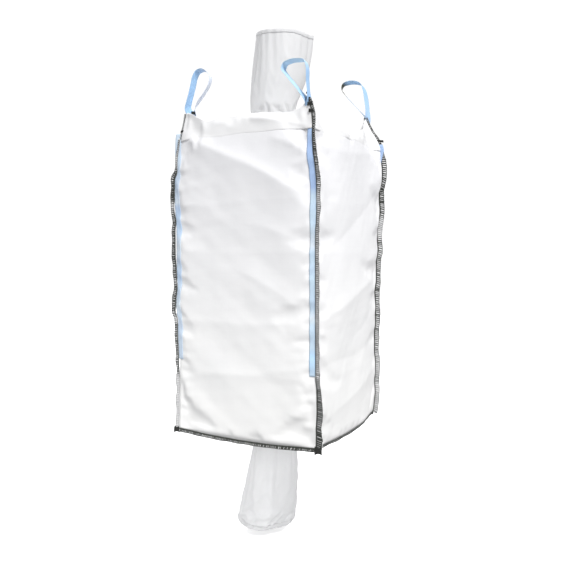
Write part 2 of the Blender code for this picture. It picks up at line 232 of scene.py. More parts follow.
# Bar tacks up each corner: inward, height, width, height of the bar, turns
EAR_TACKS = {
    "front_left": ((0.052, 1.826, 0.016, 0.016, 7), (0, 1.722, 0.018, 0.011, 8)),
    "front_right": (
        (0.004, 1.858, 0.01, 0.008, 5), (0, 1.826, 0.022, 0.02, 9), (-0.002, 1.802, 0.026, 0.02, 11),
        (0, 1.762, 0.026, 0.018, 11)),
    "back_right": ((0, 1.876, 0.02, 0.014, 8), (-0.02, 1.732, 0.034, 0.013, 12)),
    "back_left": ((0.004, 1.826, 0.02, 0.016, 8), (0, 1.725, 0.026, 0.012, 10)),
}

# How bold each corner's stitches are, by height
STITCH_TONES = {
    "front_left": (
        (0, 0.3), (0.28, 0.3), (0.34, 1), (0.6, 1.2), (0.64, 0.5), (0.69, 1.4), (0.84, 1.3), (0.86, 0.6),
        (0.88, 1.4), (1.25, 1.3), (1.3, 0.5), (1.33, 1.6), (1.45, 1.6), (1.5, 1.1), (1.54, 0.5), (1.84, 0.5)),
    "front_right": (
        (0, 1.45), (0.3, 1.4), (0.34, 0.8), (0.64, 0.75), (0.67, 0.4), (0.7, 0.75), (1, 0.75), (1.03, 0.5),
        (1.06, 0.75), (1.26, 0.7), (1.3, 0.35), (1.35, 0.85), (1.68, 1.3), (1.83, 1.3)),
    "back_right": (
        (0, 0.8), (0.35, 1), (0.6, 1.3), (1.1, 1.2), (1.14, 0.4), (1.22, 0.4), (1.26, 1.3), (1.4, 1.6),
        (1.55, 1.3), (1.66, 1.2), (1.89, 1)),
    "back_left": ((0, 1), (0.64, 0.7), (0.7, 1.2), (1.3, 0.7), (1.36, 1.3), (1.84, 1.2)),
}

# How far each fin is moved in and out of the front or back above its foot
FIN_SHIFTS = {
    "front_left": (-0.003, 0.0068),
    "front_right": (0, 0.005),
    "back_right": (0, 0),
    "back_left": (0, 0),
}

# The front straps' |x| by height
STRAP_LINES = {
    "front_right": (
        (0.36, 0.4215), (0.8, 0.421), (1, 0.4215), (1.2, 0.4225), (1.4, 0.4225), (1.45, 0.418),
        (1.503, 0.412), (1.553, 0.406), (1.656, 0.404), (1.75, 0.402)),
    "front_left": (
        (0.36, 0.4285), (0.52, 0.4285), (0.6, 0.431), (0.75, 0.442), (0.86, 0.436), (0.98, 0.434),
        (1.157, 0.433), (1.25, 0.44), (1.33, 0.446), (1.44, 0.445), (1.5, 0.44), (1.615, 0.438),
        (1.68, 0.435), (1.75, 0.43)),
}

# Each floor seam: its width, outward lean and how bold its stitches are
FLOOR_SEAMS = {
    "front": (0.018, 0.35, 1.55),
    "right": (0.012, 0, 1.3),
    "back": (0.016, 0.3, 1),
    "left": (0.014, 0.3, 1),
}

# Each floor corner's tack: outward, width, height
FLOOR_KNOTS = {
    "front_left": (0.02, 0.036, 0.03),
    "front_right": (0.014, 0.04, 0.04),
    "back_right": (0, 0.014, 0.014),
    "back_left": (0.008, 0.03, 0.026),
}

# Each loop's route from its hinge: inward, out of the wall, up, and its width's turn and tilt in degrees
LOOPS = {
    "front_left": (
        (0.034, -0.018, -0.07, -88, 0), (0.026, -0.014, -0.034, -70, 0), (0.012, -0.003, 0, -34, 0),
        (0.024, 0.002, 0.04, -20, 0), (0.042, 0.004, 0.088, -18, 0), (0.057, 0.006, 0.134, -18, 4),
        (0.07, 0.008, 0.172, -16, 10), (0.088, 0.006, 0.199, -10, 16), (0.116, 0.001, 0.208, -4, 16),
        (0.148, -0.006, 0.192, 4, 8), (0.163, -0.01, 0.16, 8, 0), (0.154, -0.01, 0.124, 12, 0),
        (0.124, -0.008, 0.08, 14, 0), (0.08, -0.006, 0.03, 16, 0), (0.056, -0.01, -0.004, 40, 0),
        (0.046, -0.016, -0.034, 70, 0), (0.04, -0.018, -0.07, 88, 0)),
    "front_right": (
        (0.022, -0.024, -0.07, 88, 0), (0.014, -0.018, -0.034, 76, 0), (0, -0.007, -0.004, 46, 0),
        (-0.003, 0.001, 0.026, 14, 0), (0.003, 0.005, 0.12, 1, 0), (0.006, 0.005, 0.192, 2, 4),
        (0.017, 0.004, 0.221, 4, 12), (0.056, 0.001, 0.231, 10, 18), (0.108, -0.004, 0.233, 17, 16),
        (0.143, -0.008, 0.222, 17, 8), (0.152, -0.01, 0.198, 16, 0), (0.133, -0.01, 0.17, 14, 0),
        (0.095, -0.008, 0.124, 13, 0), (0.043, -0.004, 0.062, 15, 0), (0.004, -0.008, 0.004, 46, 0),
        (0.014, -0.018, -0.034, 76, 0), (0.022, -0.024, -0.07, 88, 0)),
    "back_right": (
        (0.018, 0.016, -0.11, -84, 0), (0.008, 0.014, -0.06, -70, 0), (-0.004, 0.006, -0.012, -40, 0),
        (-0.004, 0.002, 0.03, -22, 0), (0.006, 0.004, 0.106, -21, 0), (0.02, 0.004, 0.17, -14, -6),
        (0.04, 0.003, 0.205, -6, -18), (0.08, 0, 0.222, 0, -24), (0.124, -0.004, 0.224, 0, -24),
        (0.158, -0.008, 0.212, 6, -14), (0.168, -0.01, 0.188, 14, -6), (0.148, -0.01, 0.154, 14, 0),
        (0.104, -0.008, 0.102, 14, 0), (0.05, -0.004, 0.042, 14, 0), (0.01, 0.005, -0.012, 36, 0),
        (0.012, 0.014, -0.06, 70, 0), (0.02, 0.016, -0.11, 84, 0)),
    "back_left": (
        (0.006, 0.014, -0.09, 84, 0), (0.002, 0.012, -0.05, 60, 0), (-0.003, 0.003, 0, 20, 0),
        (0.002, 0.003, 0.07, 0, 0), (0.012, 0.005, 0.15, 0, 0), (0.03, 0.005, 0.196, 0, 6),
        (0.064, 0.003, 0.218, 0, 10), (0.112, -0.003, 0.22, 0, 8), (0.148, -0.008, 0.204, 0, 4),
        (0.16, -0.01, 0.176, 0, 0), (0.14, -0.01, 0.136, 0, 0), (0.096, -0.008, 0.086, 0, 0),
        (0.044, -0.004, 0.036, 0, 0), (0.008, 0.003, 0.002, 20, 0), (0.008, 0.012, -0.05, 60, 0),
        (0.01, 0.014, -0.09, 84, 0)),
}

# The spouts. Axis (x) and radius are by distance from the seam, and length by angle in degrees
SPOUTS = {
    "fill": {
        "body": "walls", "panel": "top_panel", "up": 1, "base_h": TOP_H, "crumpled": 0.6, "seed": 400,
        "axis": ((0, -0.055), (0.1, -0.066), (0.2, -0.054), (0.32, -0.024), (0.5, 0.008), (0.66, 0.018)),
        "radius": ((0, 0.13), (0.1, 0.129), (0.2, 0.14), (0.3, 0.153), (0.42, 0.16), (0.66, 0.164)),
        "length": (
            (-152, 0.598), (-110, 0.584), (-75, 0.574), (-45, 0.574), (-10, 0.566), (28, 0.58), (80, 0.588),
            (150, 0.6), (208, 0.598)),
    },
    "discharge": {
        "body": "floor", "panel": "bottom_panel", "up": -1, "base_h": 0, "crumpled": 1.7, "seed": 500,
        "axis": ((0, -0.03), (0.2, -0.055), (0.45, -0.09), (0.7, -0.124)),
        "radius": ((0, 0.128), (0.12, 0.129), (0.22, 0.14), (0.34, 0.153), (0.5, 0.16), (0.7, 0.165)),
        "length": (
            (-152, 0.634), (-110, 0.648), (-75, 0.65), (-45, 0.638), (-10, 0.64), (28, 0.636), (80, 0.644),
            (150, 0.638), (208, 0.634)),
    },
}


# ---------------------------------------------------------------- numbers and curves

def smoothstep(low, high, x):
    t = np.clip((np.asarray(x, float) - low) / (high - low), 0, 1)
    return t * t * (3 - 2 * t)


def through(points, at, steady=False):
    """A smooth curve through points of (place, values...), read at places; steady never overshoots."""
    p = np.array(points, float)
    x, y = p[:, 0], p[:, 1:]
    slope = np.gradient(y, x, axis=0)
    if steady:
        rise = np.diff(y, axis=0) / np.diff(x)[:, None]
        total, product = rise[:-1] + rise[1:], rise[:-1] * rise[1:]
        inner = np.where(product > 0, 2 * product / np.where(np.abs(total) < 1e-12, 1, total), 0)
        slope = np.concatenate([rise[:1], inner, rise[-1:]])
    at = np.clip(np.asarray(at, float), x[0], x[-1])
    i = np.clip(np.searchsorted(x, at) - 1, 0, len(x) - 2)
    step = (x[i + 1] - x[i])[..., None]
    t = (at - x[i])[..., None] / step
    value = y[i] + (3 * t**2 - 2 * t**3) * (y[i + 1] - y[i])
    value += t * (1 - t) * step * ((1 - t) * slope[i] - t * slope[i + 1])
    return value[..., 0] if y.shape[1] == 1 else value


def running(line):
    """The distance run along a line at each of its points."""
    return np.concatenate([[0], np.cumsum(np.linalg.norm(np.diff(line, axis=0), axis=1))])


def read(at, place, values):
    """Rows of values that are known at rising places, read between those places."""
    return np.stack([np.interp(at, place, column) for column in values.T], axis=-1)


def spline(points, count):
    """count points spaced evenly along a smooth curve through the given points."""
    p = np.array(points, float)
    place = running(p)
    dense = through(np.column_stack([place, p]), np.linspace(0, place[-1], 40 * len(p)))
    along = running(dense)
    return read(np.linspace(0, along[-1], count), along, dense)


def ripples(u, v, size, seed, waves=7):
    """Smooth random ripples from about -1 to 1, with bumps of about the given size in metres."""
    rng = np.random.default_rng(seed)
    total = np.zeros(np.broadcast(u, v).shape)
    for _ in range(waves):
        turn, phase = rng.uniform(0, 2 * math.pi, 2)
        wave = 2 * math.pi / (size * rng.uniform(1.4, 3.2))
        total += np.sin(wave * (u * math.cos(turn) + v * math.sin(turn)) + phase)
    return total / math.sqrt(waves * 2)


def unit(v):
    return v / np.maximum(np.linalg.norm(v, axis=-1, keepdims=True), 1e-12)


def directions(line, way):
    """Along a line: its run, the given way squared to the run, and the normal to both."""
    run = unit(np.gradient(line, axis=0))
    way = unit(way - (way * run).sum(1, keepdims=True) * run)
    return run, way, np.cross(run, way)


def refine(points, rows, cols):
    """A grid of points read again at more rows and columns, along smooth curves."""
    for count in (rows, cols):
        place = np.linspace(0, 1, len(points))[:, None]
        flat = points.reshape(len(points), -1)
        points = through(np.hstack([place, flat]), np.linspace(0, 1, count))
        points = points.reshape(count, -1, 3).transpose(1, 0, 2)
    return points


def grid_normals(points):
    """Unit normals of a grid whose rows close on themselves, to the left of each row as it runs."""
    across = np.roll(points, -1, 1) - np.roll(points, 1, 1)
    return unit(np.cross(across, np.gradient(points, axis=0)))


# ---------------------------------------------------------------- meshes

def link(name, data):
    """A new object in the scene."""
    obj = bpy.data.objects.new(name, data)
    bpy.context.scene.collection.objects.link(obj)
    return obj


def mesh_object(name, vertices, faces, uvs=None, material=None):
    mesh = bpy.data.meshes.new(name)
    mesh.from_pydata(np.asarray(vertices, float).tolist(), [], faces)
    if uvs is not None:
        layer = mesh.uv_layers.new(name="metres")
        corner = np.zeros(len(mesh.loops), np.int32)
        mesh.loops.foreach_get("vertex_index", corner)
        layer.data.foreach_set("uv", np.asarray(uvs, np.float32)[corner].ravel())
    mesh.shade_smooth()
    if material is not None:
        mesh.materials.append(material)
    return link(name, mesh)


def grid_faces(rows, cols, wrap=False):
    """Quads of a grid; with wrap, its last column is joined to its first."""
    return [
        (r * cols + c, r * cols + (c + 1) % cols, (r + 1) * cols + (c + 1) % cols, (r + 1) * cols + c)
        for r in range(rows - 1) for c in range(cols if wrap else cols - 1)
    ]


def closed_faces(rows, cols):
    """Faces of a tube whose rows go round it, with a cap on each end."""
    last = (rows - 1) * cols
    return grid_faces(rows, cols, wrap=True) + [tuple(range(cols))[::-1], tuple(range(last, last + cols))]


def sheet_object(name, points, uvs, material, wrap=False, thick=CLOTH_THICK):
    """Cloth from a grid of points. Its uvs are in metres, and Solidify gives it its thickness."""
    faces = grid_faces(*points.shape[:2], wrap)
    obj = mesh_object(name, points.reshape(-1, 3), faces, uvs.reshape(-1, 2), material)
    solid = obj.modifiers.new("Thickness", "SOLIDIFY")
    solid.thickness = thick
    solid.offset = -1
    return obj


def plain_uvs(points):
    """Metres along the rows and up the columns of a grid, from its own edge lengths."""
    across = np.linalg.norm(np.diff(points, axis=1), axis=2).mean(0)
    up = np.linalg.norm(np.diff(points, axis=0), axis=2).mean(1)
    u, v = (np.concatenate([[0], np.cumsum(steps)]) for steps in (across, up))
    return np.stack(np.meshgrid(u, v), axis=-1)


def tube_mesh(path, wide, thick, side):
    """Vertices and faces of a tube of elliptical section; side is its wide direction at each point."""
    _, side, other = directions(path, side)
    turn = np.linspace(0, 2 * math.pi, TUBE_SIDES, endpoint=False)
    wide, thick = (np.broadcast_to(size, len(path))[:, None] for size in (wide, thick))
    ring = (
        path[:, None]
        + (wide * np.cos(turn))[..., None] * side[:, None]
        + (thick * np.sin(turn))[..., None] * other[:, None]
    )
    return ring.reshape(-1, 3), closed_faces(len(path), TUBE_SIDES)


def join_parts(parts):
    """One vertex list and face list from several."""
    vertices, faces, start = [], [], 0
    for points, polygons in parts:
        vertices.append(points)
        faces += [tuple(i + start for i in polygon) for polygon in polygons]
        start += len(points)
    return np.concatenate(vertices), faces


def settle(name, points, pinned, limit, frames=24, slack=0.012, push=0.0, gravity=0.0, wrap=False):
    """Settles a grid with Blender's cloth. Pinned points stay put and no point moves past the limit."""
    obj = mesh_object(name, points.reshape(-1, 3), grid_faces(*points.shape[:2], wrap))
    group = obj.vertex_groups.new(name="pinned")
    group.add([int(i) for i in np.flatnonzero(pinned.ravel())], 1.0, "REPLACE")
    cloth = obj.modifiers.new("Cloth", "CLOTH")
    for key, value in CLOTH_SETTINGS.items():
        setattr(cloth.settings, key, value)
    cloth.settings.shrink_min = -slack
    cloth.settings.use_pressure = push != 0
    cloth.settings.uniform_pressure_force = push
    cloth.settings.effector_weights.gravity = gravity
    cloth.collision_settings.use_collision = False
    cloth.point_cache.frame_end = frames
    scene = bpy.context.scene
    for step in range(1, frames + 1):
        scene.frame_set(step)
    settled = obj.evaluated_get(bpy.context.evaluated_depsgraph_get())
    out = np.zeros(points.size, np.float32)
    settled.data.vertices.foreach_get("co", out)
    scene.frame_set(1)
    bpy.data.objects.remove(obj)
    gap = out.reshape(points.shape).astype(float) - points
    far = np.linalg.norm(gap, axis=2, keepdims=True)
    return points + gap * np.minimum(1, limit / np.maximum(far, 1e-9))


def piece(obj, body, slot, *nodes):
    """The piece rides on a body and stands in for the named CAD nodes. Its slot is not used."""
    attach(obj, body)
    if nodes:
        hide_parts(*nodes)
    return obj


def squash_with_floor(obj):
    """Gives the piece a mesh of its own."""
    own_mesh(obj)


# ---------------------------------------------------------------- materials

class Nodes:
    """Short ways to add shader nodes to one material, or to the world."""

    def __init__(self, owner):
        self.tree = owner.node_tree
        self.shader = self.tree.nodes.get("Principled BSDF")

    def add(self, kind, *inputs, **values):
        """A node with attributes set, and with each (input, value) set or linked."""
        node = self.tree.nodes.new("ShaderNode" + kind)
        for key, value in values.items():
            setattr(node, key, value)
        for key, value in inputs:
            if isinstance(value, bpy.types.NodeSocket):
                self.tree.links.new(value, node.inputs[key])
            else:
                node.inputs[key].default_value = value
        return node

    def math(self, operation, *terms):
        return self.add("Math", *enumerate(terms), operation=operation).outputs[0]

    def uv(self):
        split = self.add("SeparateXYZ", (0, self.add("UVMap", uv_map="metres").outputs[0]))
        return split.outputs[0], split.outputs[1]

    def noise(self, scale, detail, at=None):
        if at is None:
            at = self.add("TexCoord").outputs["Object"]
        return self.add("TexNoise", ("Scale", scale), ("Detail", detail), ("Vector", at)).outputs["Fac"]

    def lane_noise(self, along, across, width):
        """A tone that changes from one tape to the next and only slowly along each tape."""
        lane = self.math("FLOOR", self.math("DIVIDE", along, width))
        apart = (0, self.math("MULTIPLY", lane, 7.31))
        slow = (1, self.math("MULTIPLY", across, 0.9))
        return self.noise(1.0, 1.0, self.add("CombineXYZ", apart, slow).outputs[0])

    def colours(self, factor, *stops):
        """Colours by factor, between stops of (place, colour)."""
        ramp = self.add("ValToRGB", (0, factor))
        elements = ramp.color_ramp.elements
        for place, _ in stops[1:-1]:
            elements.new(place)
        for element, (place, colour) in zip(elements, stops):
            element.position = place
            element.color = (*colour, 1)
        return ramp.outputs[0]

    def multiply(self, first, second):
        mix = self.add("Mix", (0, 1.0), (6, first), (7, second), data_type="RGBA", blend_type="MULTIPLY")
        return mix.outputs[2]

    def finish(self, colour, height, strength, distance):
        """The surface's colour and its bumps."""
        bump = self.add("Bump", ("Strength", strength), ("Distance", distance), ("Height", height))
        self.tree.links.new(bump.outputs[0], self.shader.inputs["Normal"])
        self.tree.links.new(colour, self.shader.inputs["Base Color"])


def new_material(name, roughness, sheen=0.0, specular=0.35):
    material = bpy.data.materials.new(name)
    material.use_nodes = True
    nodes = Nodes(material)
    for key, value in (("Roughness", roughness), ("Sheen Weight", sheen), ("Specular IOR Level", specular)):
        nodes.shader.inputs[key].default_value = value
    return material, nodes


def tape_weave(nodes, tape):
    """Height of a plain weave of flat tapes of the given width, from uvs in metres."""
    u, v = (nodes.math("DIVIDE", along, tape) for along in nodes.uv())
    parity = nodes.math("ADD", nodes.math("FLOOR", u), nodes.math("FLOOR", v))
    parity = nodes.math("FLOORED_MODULO", parity, 2.0)

    def crown(x):
        """0 at a tape's edges and 1 along its middle, flat on top."""
        folded = nodes.math("PINGPONG", x, 0.5)
        return nodes.math("POWER", nodes.math("MULTIPLY", folded, 2.0), 0.35)

    def tape_height(own, other, shown):
        height = nodes.math("MULTIPLY", own, nodes.math("MULTIPLY_ADD", other, 0.45, 0.55))
        return nodes.math("MULTIPLY", height, shown)

    along, over = crown(u), crown(v)
    warp = tape_height(along, over, parity)
    weft = tape_height(over, along, nodes.math("SUBTRACT", 1.0, parity))
    return nodes.math("ADD", warp, weft)


def bag_cloth(name, light=(0.87, 0.867, 0.866), dark=(0.82, 0.82, 0.822), tape=0.0028, light_cast_by_height=False):
    """White woven polypropylene: flat tapes, faint tone changes from tape to tape, soft marks."""
    material, nodes = new_material(name, roughness=0.58, sheen=0.08)
    weave = tape_weave(nodes, tape)
    u, v = nodes.uv()
    lanes = nodes.math("ADD", nodes.lane_noise(u, v, tape), nodes.lane_noise(v, u, tape))
    cloudy = nodes.math("MULTIPLY", nodes.noise(2.2, 3.0), 0.7)
    mixed = nodes.math("MULTIPLY_ADD", lanes, 0.15, cloudy)
    # Painted shade: the colour is a little darker where the weave lies low, between and under the tapes
    toned = nodes.math("MULTIPLY_ADD", weave, 0.08, mixed)
    colour = nodes.colours(toned, (0.38, dark), (0.66, light))
    # Painted light: the cloth is coloured a little cooler towards the top and warmer towards the bottom, a
    # painted cast of the light
    if light_cast_by_height:
        up = nodes.math("DIVIDE", v, 1.7)
        painted_light_cast = nodes.colours(up, (0.1, (1.0, 1.0, 0.985)), (0.9, (0.985, 0.985, 1.0)))
        colour = nodes.multiply(colour, painted_light_cast)
    height = nodes.math("MULTIPLY_ADD", weave, 0.5, nodes.noise(34.0, 4.0))
    nodes.finish(colour, height, 0.3, 0.0016)
    return material


def spout_cloth(name, light, dark):
    """Thinner, slightly see-through cloth for the spouts."""
    material = bag_cloth(name, light, dark, 0.0022)
    material.node_tree.nodes["Principled BSDF"].inputs["Alpha"].default_value = 0.84
    return material


def webbing_material(name, tones, shade=0.8):
    """Blue webbing: herringbone ribs, and tones by length from its lower end. Its colour is painted darker in
    the rib grooves, a painted shade, and worn patches keep it pale in places.
    """
    material, nodes = new_material(name, roughness=0.66, sheen=0.1, specular=0.25)
    u, v = nodes.uv()
    chevron = nodes.math("PINGPONG", nodes.math("DIVIDE", u, 0.008), 0.5)
    rib = nodes.math("ADD", nodes.math("DIVIDE", v, 0.0032), chevron)
    rib = nodes.math("SINE", nodes.math("MULTIPLY", rib, 2 * math.pi))
    rib = nodes.math("MULTIPLY_ADD", rib, 0.5, 0.5)
    yarn = nodes.math("SINE", nodes.math("MULTIPLY", u, 2 * math.pi / 0.0016))
    height = nodes.math("MULTIPLY_ADD", yarn, 0.25, rib)
    span = tones[-1][0]
    wander = nodes.math("MULTIPLY", nodes.math("SUBTRACT", nodes.noise(9.0, 3.0), 0.5), 0.1 / span)
    up = nodes.math("ADD", nodes.math("DIVIDE", v, span), wander)
    toned = nodes.colours(up, *((place / span, colour) for place, colour in tones))
    worn = nodes.math("MULTIPLY", nodes.noise(14.0, 4.0), 0.7)
    depth = nodes.math("MULTIPLY_ADD", rib, 0.3, worn)
    # Painted shade in the rib grooves, broken up by random worn patches; shade sets how dark the grooves are
    # painted
    groove_shade_and_wear = nodes.colours(depth, (0.28, (shade, shade, min(1.0, shade * 1.08))), (0.66, (1.0, 1.0, 1.0)))
    nodes.finish(nodes.multiply(toned, groove_shade_and_wear), height, 0.35, 0.0006)
    return material


def thread_material(name, light, dark):
    """Twisted sewing thread: fine slanting plies and a little fuzz."""
    material, nodes = new_material(name, roughness=0.75, sheen=0.3)
    fuzz = nodes.noise(220.0, 2.0)
    nodes.finish(nodes.colours(fuzz, (0.35, dark), (0.68, light)), fuzz, 0.5, 0.0008)
    return material


CLOTH = bag_cloth("bag_cloth")
# The walls' cloth carries the painted light cast, cooler towards the top and warmer towards the bottom
WALL_CLOTH = bag_cloth("wall_cloth", light_cast_by_height=True)
FIN_CLOTH = bag_cloth("fin_cloth", (0.9, 0.9, 0.9), (0.82, 0.82, 0.82))
THREAD = thread_material("seam_thread", (0.045, 0.05, 0.04), (0.01, 0.012, 0.009))
BLACK_THREAD = thread_material("tack_thread", (0.02, 0.022, 0.018), (0.004, 0.005, 0.004))
SPOUT_CLOTHS = {
    "discharge": spout_cloth("spout_cloth", (0.89, 0.892, 0.893), (0.85, 0.852, 0.853)),
    "fill": spout_cloth("fill_spout_cloth", (0.83, 0.83, 0.832), (0.8, 0.8, 0.803)),
}
SKY_BLUE, CLEAR_BLUE, LILAC_BLUE = (0.39, 0.61, 0.86), (0.5, 0.73, 0.94), (0.78, 0.84, 0.92)
# CREASE_HIGHLIGHT_BLUE is a painted highlight, the pale band where a storage crease crosses the webbing
BLUE, DEEP_BLUE, CREASE_HIGHLIGHT_BLUE = (0.6, 0.76, 0.88), (0.43, 0.59, 0.85), (0.8, 0.9, 0.95)
SOFT_BLUE, FADED_BLUE, OLIVE_SHADE_AND_STITCHES = (0.54, 0.69, 0.86), (0.64, 0.76, 0.87), (0.1, 0.11, 0.08)
# Tones along each loop, from the foot of its outer leg
LOOP_TONES = {
    "front_left": ((0.0, SKY_BLUE), (0.3, SKY_BLUE), (0.38, LILAC_BLUE), (0.6, LILAC_BLUE), (0.7, SKY_BLUE)),
    "front_right": (
        # The lighter blue (0.6, 0.82, 0.97) on the arch is painted light: the arch faces down into shade and
        # is painted brighter
        (0.0, SKY_BLUE), (0.24, SKY_BLUE), (0.3, (0.6, 0.82, 0.97)), (0.41, (0.6, 0.82, 0.97)),
        (0.46, CLEAR_BLUE), (0.56, CLEAR_BLUE), (0.8, SKY_BLUE)),
    "back_right": (
        # The dark olive patch on the bend is partly painted shade of the loop's inner side and partly a dark
        # stitched mark
        (0.0, (0.5, 0.68, 0.88)), (0.3, SKY_BLUE), (0.41, SKY_BLUE), (0.45, OLIVE_SHADE_AND_STITCHES), (0.52, OLIVE_SHADE_AND_STITCHES),
        (0.56, (0.6, 0.74, 0.88)), (0.9, (0.55, 0.7, 0.87))),
    "back_left": ((0.0, SKY_BLUE), (0.8, SKY_BLUE)),
}
# The pale stops near the storage creases are painted highlights
RIGHT_WEBBING = webbing_material("right_webbing", (
    (0.0, BLUE), (0.1, CLEAR_BLUE), (0.16, BLUE), (0.27, BLUE), (0.31, CREASE_HIGHLIGHT_BLUE), (0.35, BLUE), (0.64, BLUE),
    (0.68, CREASE_HIGHLIGHT_BLUE), (0.8, BLUE), (0.94, BLUE), (1.00, DEEP_BLUE), (1.25, DEEP_BLUE), (1.4, DEEP_BLUE)))
LEFT_WEBBING = webbing_material("left_webbing", (
    (0.0, FADED_BLUE), (0.24, FADED_BLUE), (0.3, CREASE_HIGHLIGHT_BLUE), (0.36, FADED_BLUE), (0.5, SOFT_BLUE),
    (0.58, FADED_BLUE), (0.66, CREASE_HIGHLIGHT_BLUE), (0.74, SOFT_BLUE), (0.88, SOFT_BLUE), (0.92, CREASE_HIGHLIGHT_BLUE),
    (0.98, FADED_BLUE), (1.4, FADED_BLUE)))


# ---------------------------------------------------------------- walls and hems

def from_edge(u):
    """How far a place across a wall is from the nearer corner seam."""
    return np.minimum(u, 2 * HALF - u)


def sideways(wall):
    """The way across a wall, to the right as seen from outside."""
    x, y, _ = OUTWARD[wall]
    return np.array([-y, x, 0])


def corner_line(name, heights):
    """Points up a corner seam, in the row frame."""
    sx, sy, top, seam = CORNERS[name]
    x = sx * through(seam, heights, steady=True)
    y = sy * (HALF - 0.026 * smoothstep(1.66, top, heights))
    return np.stack([x, y, FLOOR_Z + heights], axis=-1)


def wall_start(name, rows, cols):
    """A wall's grid before it settles: seams at both sides, its own rim, and a gentle bulge."""
    left, right, rim = WALLS[name]
    s, t = np.linspace(0, 1, cols), np.linspace(0, 1, rows)
    out = OUTWARD[name]
    left_line = corner_line(left, t * CORNERS[left][2])
    right_line = corner_line(right, t * CORNERS[right][2])
    points = left_line[:, None] * (1 - s)[None, :, None] + right_line[:, None] * s[None, :, None]
    near_left = 1 - smoothstep(0, 0.34, s)
    near_right = 1 - smoothstep(0, 0.34, 1 - s)
    depth = HALF + np.outer(left_line @ out - HALF, near_left) + np.outer(right_line @ out - HALF, near_right)
    bulge = np.outer(0.35 + 0.65 * np.sin(math.pi * t) ** 0.7, np.sin(math.pi * s) ** 1.3)
    depth = depth + 0.012 * bulge
    points += (depth - points @ out)[..., None] * out
    sag = FLOOR_SAGS[name] * np.outer((1 - t) ** 3, np.sin(math.pi * s))
    points[..., 2] = FLOOR_Z + np.outer(t, through(rim, s)) - sag
    return points


def crease(u, v, line, lift, above, below, fade=(0.12, 0.12)):
    """A fold along a line of (u, v) points: it falls away over `above` above it, `below` below it."""
    p = np.array(line, float)
    slope = (through(p, u + 0.01) - through(p, u - 0.01)) / 0.02
    side = (v - through(p, u)) / np.sqrt(1 + slope**2)
    near = np.sqrt(side**2 + CREASE_ROUND**2) - CREASE_ROUND
    share = (u - p[0, 0]) / (p[-1, 0] - p[0, 0])
    hold = smoothstep(-0.02, fade[0], share) * (1 - smoothstep(1 - fade[1], 1.02, share))
    return lift * hold * np.exp(-near / np.where(side > 0, above, below))


def wall_folds(name, u, v):
    """How far a wall's folds stand out: storage creases all round, tension folds of its own."""
    rise = np.zeros_like(u)
    for index, height in enumerate(STORAGE_FOLDS_H):
        wander = 0.008 * ripples(u, v * 0, 0.3, 40 + index)
        gap = np.abs(v - height - wander)
        rise += 0.0036 * np.exp(-gap / 0.022) * (0.25 + 0.75 * np.exp(-from_edge(u) / 0.1))
    for fold in FOLDS[name]:
        rise += crease(u, v, *fold)
    return rise


def puckers(name, u, v):
    """Short gathers that run in from both seams, where the stitching draws the cloth up."""
    seed = 60 + list(WALLS).index(name)
    wave = ripples(u * 0.3, v, 0.034, seed) + 0.7 * ripples(u * 0.35, v, 0.08, seed + 10)
    patchy = 0.35 + 0.65 * smoothstep(-0.4, 1.0, ripples(u * 0, v, 0.35, seed + 20))
    return 0.0026 * patchy * wave * np.exp(-np.abs(from_edge(u) - 0.05) / 0.055)


def crumple(name, u, v):
    """Soft, mostly slanting unevenness over the whole wall, from being folded in storage."""
    seed = 80 + list(WALLS).index(name)
    lean = 0.45 if name in ("front", "back") else -0.45
    across = v + lean * u
    patchy = 0.45 + 0.55 * smoothstep(-0.8, 1.2, ripples(u, v, 0.3, seed + 3))
    rise = 0.0028 * ripples(u * 0.7, across, 0.2, seed)
    rise += 0.0016 * patchy * ripples(u * 0.8, across * 0.9, 0.085, seed + 5)
    rise += 0.0007 * patchy * ripples(u, v, 0.036, seed + 9)
    return rise


def settled_walls():
    """All four walls, settled as cloth with a little slack and then given their folds."""
    pinned = np.ones((SIM_ROWS, SIM_COLS), bool)
    pinned[1:-1, 1:-1] = False
    walls = {}
    for name in WALLS:
        start = wall_start(name, SIM_ROWS, SIM_COLS)
        shape = settle(f"sim_{name}", start, pinned, limit=0.014, frames=30, slack=0.014, push=0.25)
        fine = refine(shape, WALL_ROWS, WALL_COLS)
        u = np.linspace(0, 2 * HALF, WALL_COLS)[None, :] + 0 * fine[..., 0]
        v = fine[..., 2] - FLOOR_Z
        edge = from_edge(u)
        tall = 1 - 0.8 * smoothstep(1.64, 1.74, v)
        broad = smoothstep(0, 0.12, edge) * (wall_folds(name, u, v) + crumple(name, u, v))
        rise = tall * (broad + np.minimum(1, edge / 0.04) * puckers(name, u, v))
        if name == "front":
            lean = smoothstep(1.67, 1.79, v) * np.exp(-(((u - 0.11) / 0.12) ** 2))
            rise += 0.024 * lean * np.minimum(1, edge / 0.05)
        walls[name] = fine + rise[..., None] * OUTWARD[name]
    return walls


def wall_at(points, share, height):
    """Points on a wall's grid at shares of its width and heights above the floor."""
    rows, cols = points.shape[:2]
    share, height = np.broadcast_arrays(np.asarray(share, float), np.asarray(height, float))
    c = np.clip(share, 0, 1) * (cols - 1)
    c0 = np.clip(np.floor(c).astype(int), 0, cols - 2)
    f = (c - c0)[..., None]
    heights = points[..., 2] - FLOOR_Z
    out = np.zeros((*share.shape, 3))
    for side, weight in ((c0, 1 - f), (c0 + 1, f)):
        columns = heights[:, side.ravel()]
        h = height.ravel()
        r = np.clip((columns < h).sum(0) - 1, 0, rows - 2)
        low, high = columns[r, np.arange(len(h))], columns[r + 1, np.arange(len(h))]
        g = ((h - low) / np.maximum(high - low, 1e-9))[:, None]
        near = points[r, side.ravel()] * (1 - g) + points[r + 1, side.ravel()] * g
        out += weight * near.reshape(*share.shape, 3)
    return out


